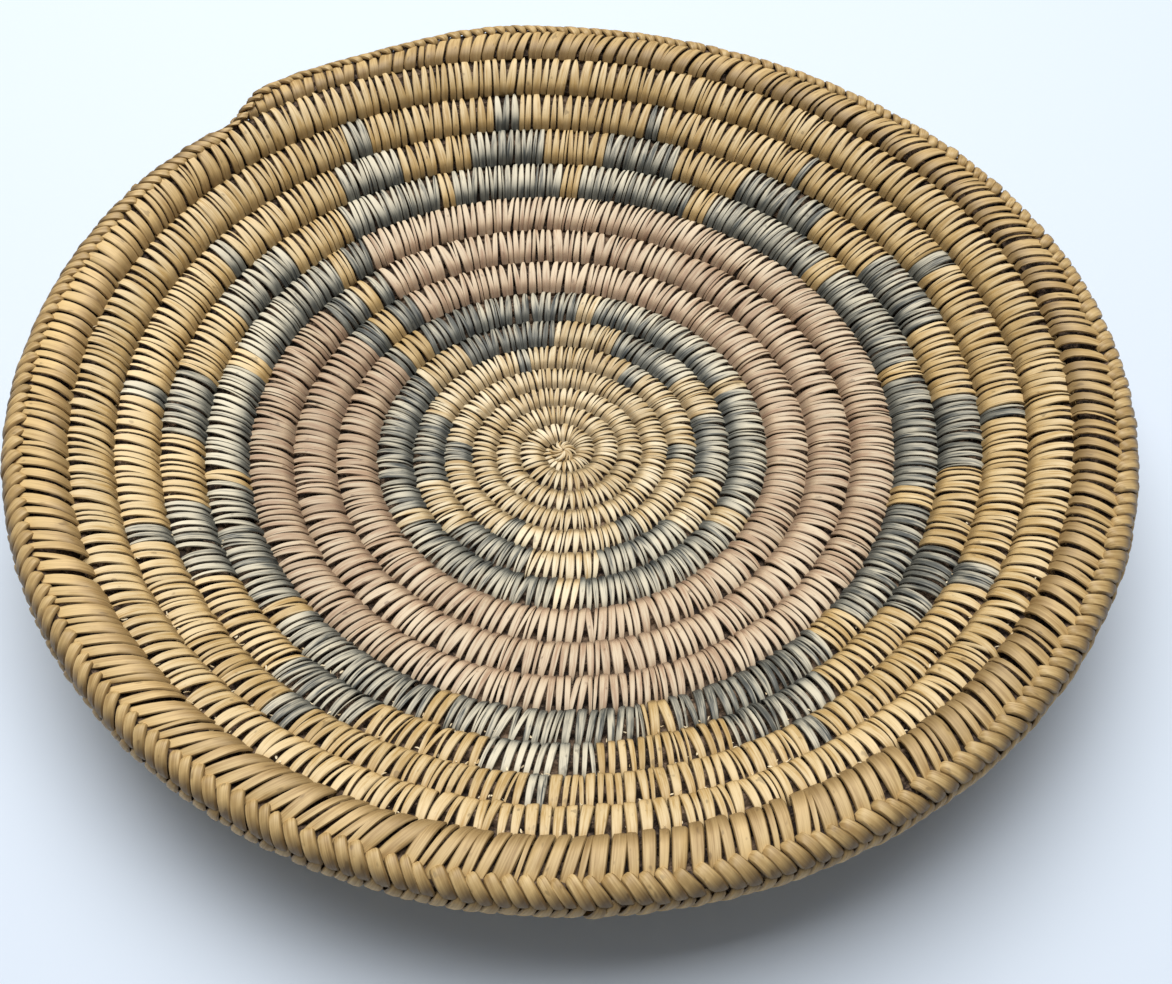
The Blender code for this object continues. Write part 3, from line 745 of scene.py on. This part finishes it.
undyed = splint_material("scraped_sumac_splint", light="#e2c288", dark="#bd995b", wear_and_highlight_colour="#f0dcb2",
                         dirt_and_shade_colour="#4a3519", wear_and_highlight=0.45, tone_strength=0.065, roughness=0.55)
middle_undyed = splint_material("rubbed_sumac_splint", light="#ecd4a6", dark="#c2a16a", wear_and_highlight_colour="#f8e9c7",
                                dirt_and_shade_colour="#3f2d16", wear_and_highlight=0.7, tone_strength=0.055, roughness=0.55)
rim_undyed = splint_material("handled_sumac_splint", light="#d9b77b", dark="#ac8a55", wear_and_highlight_colour="#e3c790",
                             dirt_and_shade_colour="#442c0e", wear_and_highlight=0.4, tone_strength=0.06, roughness=0.5)
black = splint_material("black_dyed_sumac_splint", light="#9b998a", dark="#373b39", wear_and_highlight_colour="#d8cdb2",
                        dirt_and_shade_colour="#101416", wear_and_highlight=0.9, tone_strength=0.1, roughness=0.55)
red = splint_material("faded_red_sumac_splint", light="#dac09c", dark="#b49274", wear_and_highlight_colour="#e6d5b7",
                      dirt_and_shade_colour="#54392a", wear_and_highlight=0.6, tone_strength=0.055, roughness=0.6)
print("Splint finishes:", undyed.name, middle_undyed.name, rim_undyed.name, black.name, red.name)

# %% [markdown]
# ## Sew every field
# Each field of colour gets one piece: its stitches, copied from the straight one and wound onto
# the coil.

# %% Sew the fields
def finish_of(field):
    """The material and the record's slot for a field of colour."""
    if field == "rim_coil":
        return rim_undyed, "undyed_sumac_rim"
    if field.startswith("red_row"):
        return red, "faded_red_sumac"
    if "dark_step" in field or "border" in field:
        return black, "black_dyed_sumac"
    if field == "natural_centre" or field.startswith("inner_natural"):
        return middle_undyed, "undyed_sumac"
    return undyed, "undyed_sumac"


for field in fields:
    chosen = np.flatnonzero(stitch_field == field)
    sewing = copies(stitch_mesh, len(chosen))
    set_points(sewing, *wound_stitches(chosen))
    finish, slot = finish_of(field)
    add_piece(f"{field}_stitches", sewing, finish, slot, field)
print("Sewed", len(fields), "fields")

# %% [markdown]
# ## Willow rods
# Three peeled rods lie in the coil, one above and two below. They show between the stitches and
# close the view through the basket. Each is an eight-sided bar, cut into short lengths so that it can
# bend, and wound like the stitches. Neighbouring turns press together, so no light comes between them.

# %% The rods
ROD_SIDES = 8
ROD_CUTS_PER_TURN = 60
ROD_START = 200
ROD_END = COIL_END - 8
RODS = ((0.5, 0.08, 0.2), (0.21, -0.1, 0.22), (0.79, -0.1, 0.22))  # across, above and radius, in widths


def straight_bar(sides, cuts):
    """A bar one metre long and two metres across, closed at both ends and cut across evenly."""
    bar = bmesh.new()
    bmesh.ops.create_cone(bar, cap_ends=True, segments=sides, radius1=1, radius2=1, depth=1)
    long_edges = [e for e in bar.edges if abs(e.verts[0].co.z - e.verts[1].co.z) > 0.5]
    bmesh.ops.subdivide_edges(bar, edges=long_edges, cuts=cuts, use_grid_fill=False)
    bmesh.ops.recalc_face_normals(bar, faces=bar.faces)
    return bar


rods = bmesh.new()
turns_wound = (ROD_END - ROD_START) / FULL_TURN
for across_share, above_share, radius_share in RODS:
    bar = as_mesh("straight_rod", straight_bar(ROD_SIDES, int(turns_wound * ROD_CUTS_PER_TURN)))
    bar_points = coordinates(bar)
    rod_place = ROD_START + (bar_points[:, 2] + 0.5) * turns_wound * FULL_TURN
    rod_width = coil_width(rod_place)
    rod_middle = edge(rod_place - FULL_TURN) + across_share * rod_width
    wound = bowl_points(rod_middle + radius_share * rod_width * bar_points[:, 0],
                        (above_share + radius_share * bar_points[:, 1]) * rod_width, rod_place)
    bar.vertices.foreach_set("co", wound.astype(np.float32).ravel())
    rods.from_mesh(bar)
    bpy.data.meshes.remove(bar)
bmesh.ops.recalc_face_normals(rods, faces=rods.faces)
print("The rods have", len(rods.faces), "faces")


# %% Peeled willow
# Weathered willow under the splints: brown, dull and streaky, with fibres about 1 mm apart
PATCHES_PER_METRE = 180
PATCH_SHARE = 0.8
STREAKS_PER_METRE = 900
STREAK_ROUGHNESS = 0.65
STREAK_DEPTH = 0.2 * MM
STREAK_RELIEF = 0.7
ROD_ROUGHNESS = 0.85
ROD_IOR = 1.45
MOTTLE_LIMITS = (0.8, 1.15)


def willow_material():
    material, tree = new_material("weathered_willow_rod")
    where = add(tree, "ShaderNodeTexCoord").outputs["Object"]
    patches = noise(tree, where, 1, PATCHES_PER_METRE)
    streaks = noise(tree, where, 4, STREAKS_PER_METRE, STREAK_ROUGHNESS)
    mottled = calculated(tree, "MULTIPLY_ADD", patches, PATCH_SHARE, streaks)
    wood = mixed(tree, mapped(tree, mottled, MOTTLE_LIMITS), linear("#2a1e16"), linear("#957b62"))
    surface(tree, wood, ROD_ROUGHNESS, ROD_IOR, streaks, STREAK_DEPTH, STREAK_RELIEF)
    return material


willow = willow_material()
add_piece("willow_rods", as_mesh("willow_rods", rods), willow, "willow_rods", "rod_foundation")

# %% [markdown]
# ## The herringbone braid
# The rim is finished with one splint laced forward and back over the edge, which makes two columns
# of slanting strands that meet in chevrons along the outside. Each strand is a flat ribbon, cut
# square to its slant and bent round the edge. The upper ones start between the rim's stitches, run
# forward and down over the edge and dive under the lower ones, which mirror them.
#
# One braid modelled as a solid with a herringbone texture would look right from the front only. Its
# outline is what shows here, so every strand is a piece of its own, again one bar copied and bent.

# %% One strand
STRAND_SIDES = 8
STRAND_CUTS = 12
FLATTENING = 0.6

strand_mesh = as_mesh("straight_strand", straight_bar(STRAND_SIDES, STRAND_CUTS))
strand_points = coordinates(strand_mesh)
strand_travel = strand_points[:, 2] + 0.5
strand_across = strand_points[:, 0]
strand_rise = np.sign(strand_points[:, 1]) * np.abs(strand_points[:, 1]) ** FLATTENING


def rounded_ends(travel, bluntness):
    """Shares of a strand's width that round it off at both ends."""
    return np.maximum(1 - np.abs(2 * travel - 1) ** bluntness, 0) ** 0.5


def strand_attributes(count, travel, pattern, row_share, tones, edge_share=1):
    """What strands say of their splints, from the size in mm of the wood's pattern on them."""
    length, width = pattern
    zeros = np.zeros((count, len(strand_travel)))
    seed = draw.uniform(*SEEDS, (count, 1))
    fibre = np.stack([length * travel + zeros, width * strand_across + zeros, seed + zeros], axis=-1)
    tone = draw.normal(*tones, (count, 1))
    marks = np.stack([edge_share * np.abs(strand_across) + zeros, row_share + zeros, tone + zeros], axis=-1)
    return fibre, marks


print("One strand has", len(strand_mesh.polygons), "faces")


# %% Lace the strands over the rim
BRAID_THICKNESS = 2 * MM
LIP_REACH_SHARE = 0.6  # of the braid's thickness between the coil and the middle of the strands
LIP_RISE_SHARE = 0.45
CREST_SHARE = 0.27
STRAND_SPACING = 4.25 * MM
SPACINGS = (1, 0.13, 0.7, 1.35)  # mean, spread and limits
LAST_SPACING = 1.5  # degrees
STRAND_ADVANCE = 6.7 * MM
STRAND_WIDTH_SHARE = 1.05
LEAST_STRAND_SHARE = 0.15
STRAND_HALF_THICKNESS = 0.8 * MM
STRAND_HEAD_ANGLE = 112
STRAND_TAIL_ANGLES = {1: 8, -1: -36}  # from the outermost line; the lower column runs on under the upper
SQUARE_CUT_ANGLE = 16  # a strand's ends are cut square to its slant, not along the rim
DIVE_ANGLE = 22
BRAID_THINNING = 0.6  # of the lip at the place where the coil ends
BRAID_GROWTH_ANGLE = 40
END_TUCK = 1.7 * MM  # the braid's end runs in under its start
TUCK_ANGLE = 14
CORE_DEPTH = 0.85 * MM
DIVE_DEPTHS = {1: 1.1 * MM, -1: 1.0 * MM}
HEAD_DEPTH = 0.9 * MM
HEAD_SHARE = 0.18
STRAND_SOILING_AND_SHADE = {1: 1.1, -1: 0.75}  # how fast a strand darkens towards its tail, low on the lip: partly soiling, partly painted shade
STRAND_HEAD_MARK = 0.6  # a head is marked as this share of the way over a row
HEADS = (0, 5, -9, 9)  # degrees: mean, spread and limits
TAILS = (0, 2.5, -5, 5)
HEAD_BLUNTNESS = 7
TAIL_BLUNTNESS = 3.6
STRAND_LIFT = 0.12  # mm
STRAND_TWIST = 0.1  # mm
STRAND_PATTERN = (12, 2)
STRAND_TONES = (-0.8, 0.9)  # mean and spread
BRAID_START = RIM_START - 1


def lip_points(place, around, lift, side):
    """Points round the braid's lip, by angle up from the outermost line and height off the lip."""
    grown = BRAID_THINNING + (1 - BRAID_THINNING) * eased((place - BRAID_START) / BRAID_GROWTH_ANGLE)
    crest = CREST_SHARE * coil_width(place) * grown
    tuck = END_TUCK * eased((place - BRAID_START - FULL_TURN + TUCK_ANGLE) / TUCK_ANGLE)
    reach = crest + LIP_REACH_SHARE * BRAID_THICKNESS + lift
    rise = half_thickness(place) * grown + LIP_RISE_SHARE * BRAID_THICKNESS + lift
    turned = np.radians(around)
    return edge(place) - crest - tuck + reach * np.cos(turned), side * rise * np.sin(turned)


def lace(side):
    """All strands of one column, above (1) or below (-1) the outermost line."""
    places, place = [], BRAID_START
    while place < BRAID_START + FULL_TURN:
        places.append(place)
        step = STRAND_SPACING * float(varied(*SPACINGS))
        place += math.degrees(step / float(edge(place)))
    count = len(places)
    start = np.array(places)[:, None]
    spacing = np.diff(places, append=places[-1] + LAST_SPACING)[:, None]
    spacing = (spacing + np.roll(spacing, 1, axis=0)) / 2
    travel = strand_travel + np.zeros((count, 1))
    rounded = rounded_ends(travel, np.where(travel < 0.5, HEAD_BLUNTNESS, TAIL_BLUNTNESS))
    head = STRAND_HEAD_ANGLE + varied(*HEADS, (count, 1))
    tail = STRAND_TAIL_ANGLES[side] + varied(*TAILS, (count, 1))
    around = head + (tail - head) * travel + SQUARE_CUT_ANGLE * strand_across * rounded
    advance = np.degrees(STRAND_ADVANCE / edge(start))
    middle = start + advance * travel
    slip = advance * SQUARE_CUT_ANGLE / (head - tail)
    half_width = np.maximum(spacing * STRAND_WIDTH_SHARE / 2 - slip, spacing * LEAST_STRAND_SHARE) * rounded
    dive = DIVE_DEPTHS[side] * eased((tail + DIVE_ANGLE - around) / DIVE_ANGLE)
    dive += HEAD_DEPTH * eased((HEAD_SHARE - travel) / HEAD_SHARE)
    uneven = draw.normal(0, STRAND_LIFT, (count, 1)) * MM
    uneven = uneven + draw.normal(0, STRAND_TWIST, (count, 1)) * MM * strand_across
    lift = STRAND_HALF_THICKNESS * strand_rise * rounded - dive + uneven
    along, above = lip_points(middle, around, lift, side)
    points = bowl_points(along, above, middle + half_width * strand_across)
    # Strands darken towards their tails, low on the lip: partly soiling, partly painted shade
    marked_row_share = STRAND_HEAD_MARK + STRAND_SOILING_AND_SHADE[side] * travel
    return points, *strand_attributes(count, travel, STRAND_PATTERN, marked_row_share, STRAND_TONES)


for side, column in ((1, "upper"), (-1, "lower")):
    laced = lace(side)
    braid = copies(strand_mesh, len(laced[0]))
    if side < 0:
        braid.flip_normals()
    set_points(braid, *laced)
    add_piece(f"rim_braid_{column}_strands", braid, rim_undyed, "undyed_sumac_rim", "rim_braid")
    print("The", column, "column has", len(laced[0]), "strands")

# %% The coil's edge under the braid
core = as_mesh("rim_edge_rod", straight_bar(ROD_SIDES, 3 * ROD_CUTS_PER_TURN))
core_points = coordinates(core)
core_place = BRAID_START + (core_points[:, 2] + 0.5) * FULL_TURN
core_around = np.degrees(np.arctan2(core_points[:, 1], core_points[:, 0]))
wound_core = bowl_points(*lip_points(core_place, core_around, -CORE_DEPTH, 1), core_place)
core.vertices.foreach_set("co", wound_core.astype(np.float32).ravel())
add_piece("rim_edge_rod", core, willow, "willow_rods", "rod_foundation")
print("A rod under the braid closes the rim's edge")

# %% [markdown]
# ## The start knot
# The coil starts as a few thin strands, knotted in the middle. They fan out in a small swirl, so the
# knot is a ring of the braid's bars, thinner and bent, one over another.

# %% Tie the knot
KNOT_STRANDS = 22
KNOT_REACH = 4.6 * MM
KNOT_REACHES = (0.75, 1.0)
KNOT_START = 0.25 * MM
KNOT_SWIRL = 55
KNOT_SPREAD = 5
KNOT_HALF_WIDTH = 0.42 * MM
LEAST_REACH = 0.8 * MM
KNOT_HEIGHT = 2.4 * MM
KNOT_DROP = 0.45  # share of the height lost towards the tips
KNOT_LIFT = 0.12  # mm
KNOT_HALF_THICKNESS = 0.3 * MM
KNOT_BLUNTNESS = 3
KNOT_PATTERN = (4, 0.5)
KNOT_HEAD_MARK = 0.2
KNOT_SOILING = 0.5
KNOT_EDGES = 0.8
KNOT_TONES = (-0.5, 0.8)


def knot_strands(side):
    """Thin strands that swirl out from the middle, above or below."""
    count = KNOT_STRANDS
    turned = (np.arange(count) * FULL_TURN / count + draw.normal(0, KNOT_SPREAD, count))[:, None]
    reach = (KNOT_REACH * draw.uniform(*KNOT_REACHES, count))[:, None]
    travel = strand_travel[None]
    rounded = rounded_ends(strand_travel, KNOT_BLUNTNESS)
    along = KNOT_START + reach * travel
    half = KNOT_HALF_WIDTH * rounded * strand_across
    angle = turned + KNOT_SWIRL * (1 - travel) + np.degrees(half / np.maximum(along, LEAST_REACH))
    height = KNOT_HEIGHT * (1 - KNOT_DROP * travel**2) + draw.normal(0, KNOT_LIFT, (count, 1)) * MM
    above = side * (height + KNOT_HALF_THICKNESS * rounded * strand_rise)
    marked_row_share = KNOT_HEAD_MARK + KNOT_SOILING * travel
    attributes = strand_attributes(count, travel, KNOT_PATTERN, marked_row_share, KNOT_TONES, KNOT_EDGES)
    return bowl_points(along, above, angle), *attributes


knots = [knot_strands(side) for side in (1, -1)]
knot = copies(strand_mesh, 2 * KNOT_STRANDS)
set_points(knot, *(np.concatenate(parts) for parts in zip(*knots)))
add_piece("start_knot_strands", knot, middle_undyed, "undyed_sumac", "start_knot")
print("The knot has", 2 * KNOT_STRANDS, "strands")

# %% [markdown]
# ## Frayed fibres
# Handling has frayed some tails, most on the side where the dark ring is worn. The broken ends lie
# in the grooves as short pale fibres, bent like the strands of the braid.

# %% Scatter the fibres
FRAYED_FIBRES = 190
FRAYED_SPREAD = 38
FRAYED_TURNS = (11, 12, 13, 14)
FRAYED_PARTS = (0.25, 0.35, 0.25, 0.15)  # of all fibres, by row
FRAYED_TILT = 55
FRAYED_LENGTHS = (0.6, 2.4)  # mm
FRAYED_HALF_WIDTHS = (0.14, 0.32)  # mm
FRAYED_HALF_THICKNESS = 0.12 * MM
FRAYED_BENDS = (-0.5, 0.5)  # mm
FRAYED_INWARD = (-0.2, 3.0)  # mm from the row's outer edge
FRAYED_HEIGHTS = (0.42, 0.66)  # shares of the coil's half thickness
FRAYED_PATTERN = (4, 0.3)
FRAYED_BLUNTNESS = 2
FRAYED_TONES = (1.5, 1)


def fibre_values(limits):
    """A random value between two limits for each fibre."""
    return draw.uniform(*limits, (FRAYED_FIBRES, 1))


def scattered_fibres():
    """Short bent fibres that lie in the grooves of the frayed rows."""
    turn = draw.choice(FRAYED_TURNS, FRAYED_FIBRES, p=FRAYED_PARTS)
    place = ((turn - 1) * FULL_TURN + draw.normal(NEAR_SIDE_ANGLE, FRAYED_SPREAD, FRAYED_FIBRES))[:, None]
    length = fibre_values(FRAYED_LENGTHS) * MM
    turned = np.radians(draw.normal(0, FRAYED_TILT, (FRAYED_FIBRES, 1)))
    travel = strand_travel[None] - 0.5
    rounded = rounded_ends(strand_travel[None], FRAYED_BLUNTNESS)
    half = fibre_values(FRAYED_HALF_WIDTHS) * MM * rounded * strand_across
    bent = fibre_values(FRAYED_BENDS) * MM * (2 * travel) ** 2
    outward = length * travel * np.cos(turned) - half * np.sin(turned)
    sideways = length * travel * np.sin(turned) + half * np.cos(turned)
    middle = edge(place) - fibre_values(FRAYED_INWARD) * MM
    place = place + np.degrees(sideways / middle)
    above = half_thickness(place) * fibre_values(FRAYED_HEIGHTS) + bent
    above = above + FRAYED_HALF_THICKNESS * rounded * strand_rise
    attributes = strand_attributes(FRAYED_FIBRES, travel, FRAYED_PATTERN, CROWN, FRAYED_TONES, 0)
    return bowl_points(middle + outward, above, place), *attributes


frayed = copies(strand_mesh, FRAYED_FIBRES)
set_points(frayed, *scattered_fibres())
add_piece("frayed_fibres", frayed, middle_undyed, "undyed_sumac")
print(FRAYED_FIBRES, "frayed fibres lie in the grooves")

# %% [markdown]
# ## Floor, light and camera
# A pale seamless floor and one large soft light overhead, a little behind, with little fill: the
# bowl's near side throws a soft dark shadow towards the viewer. The camera looks down at 53 degrees.

# %% Floor
FLOOR_SIZE = 8
FLOOR_CLEARANCE = 0.1 * MM
ground = bmesh.new()
bmesh.ops.create_grid(ground, x_segments=1, y_segments=1, size=FLOOR_SIZE / 2)
floor = bpy.data.objects.new("studio_floor", as_mesh("studio_floor", ground))
floor_material, paper = new_material("matt_white_paper")
paper_shader = add(paper, "ShaderNodeBsdfPrincipled", [("Base Color", linear("#e2ecf8")), ("Roughness", 0.9)])
add(paper, "ShaderNodeOutputMaterial", [("Surface", paper_shader.outputs[0])])
floor.data.materials.append(floor_material)
floor.location.z = -FLOOR_CLEARANCE
link(floor)

# %% Light
SOFTBOX_PLACE = Vector((-0.1, 0.36, 1.3))
SOFTBOX_SIZE = 1.3
SOFTBOX_WATTS = 23.3
FILL_STRENGTH = 0.195

softbox = bpy.data.lights.new("overhead_softbox", "AREA")
softbox.size = SOFTBOX_SIZE
softbox.energy = SOFTBOX_WATTS
lamp = bpy.data.objects.new("overhead_softbox", softbox)
lamp.location = SOFTBOX_PLACE
lamp.rotation_euler = (-SOFTBOX_PLACE).to_track_quat("-Z", "Y").to_euler()
link(lamp)
world = bpy.data.worlds.new("studio")
world.use_nodes = True
world.node_tree.nodes["Background"].inputs["Color"].default_value = linear("#e9f0fa")
world.node_tree.nodes["Background"].inputs["Strength"].default_value = FILL_STRENGTH
scene.world = world
scene.view_settings.view_transform = "Standard"

# %% Camera
CAMERA_PLACE = Vector((7.65, -267.29, 330.6)) * MM  # from the middle of the start knot
CAMERA_TILT = 37.42
CAMERA_ROLL = 2.46
FOCAL_PIXELS = 1350
PHOTO_WIDTH = 1172
SENSOR_WIDTH = 36

lens = bpy.data.cameras.new("camera")
lens.sensor_width = SENSOR_WIDTH
lens.lens = FOCAL_PIXELS / PHOTO_WIDTH * SENSOR_WIDTH
lens.clip_start = 0.01
camera = bpy.data.objects.new("camera", lens)
tilt = Matrix.Rotation(math.radians(CAMERA_TILT), 4, "X")
roll = Matrix.Rotation(math.radians(CAMERA_ROLL), 4, "Z")
eye = Vector((coil_centre.x, coil_centre.y, -FLOOR)) + CAMERA_PLACE
camera.matrix_world = Matrix.Translation(eye) @ tilt @ roll
link(camera)
scene.camera = camera
print("The lens is", round(lens.lens, 2), "mm")
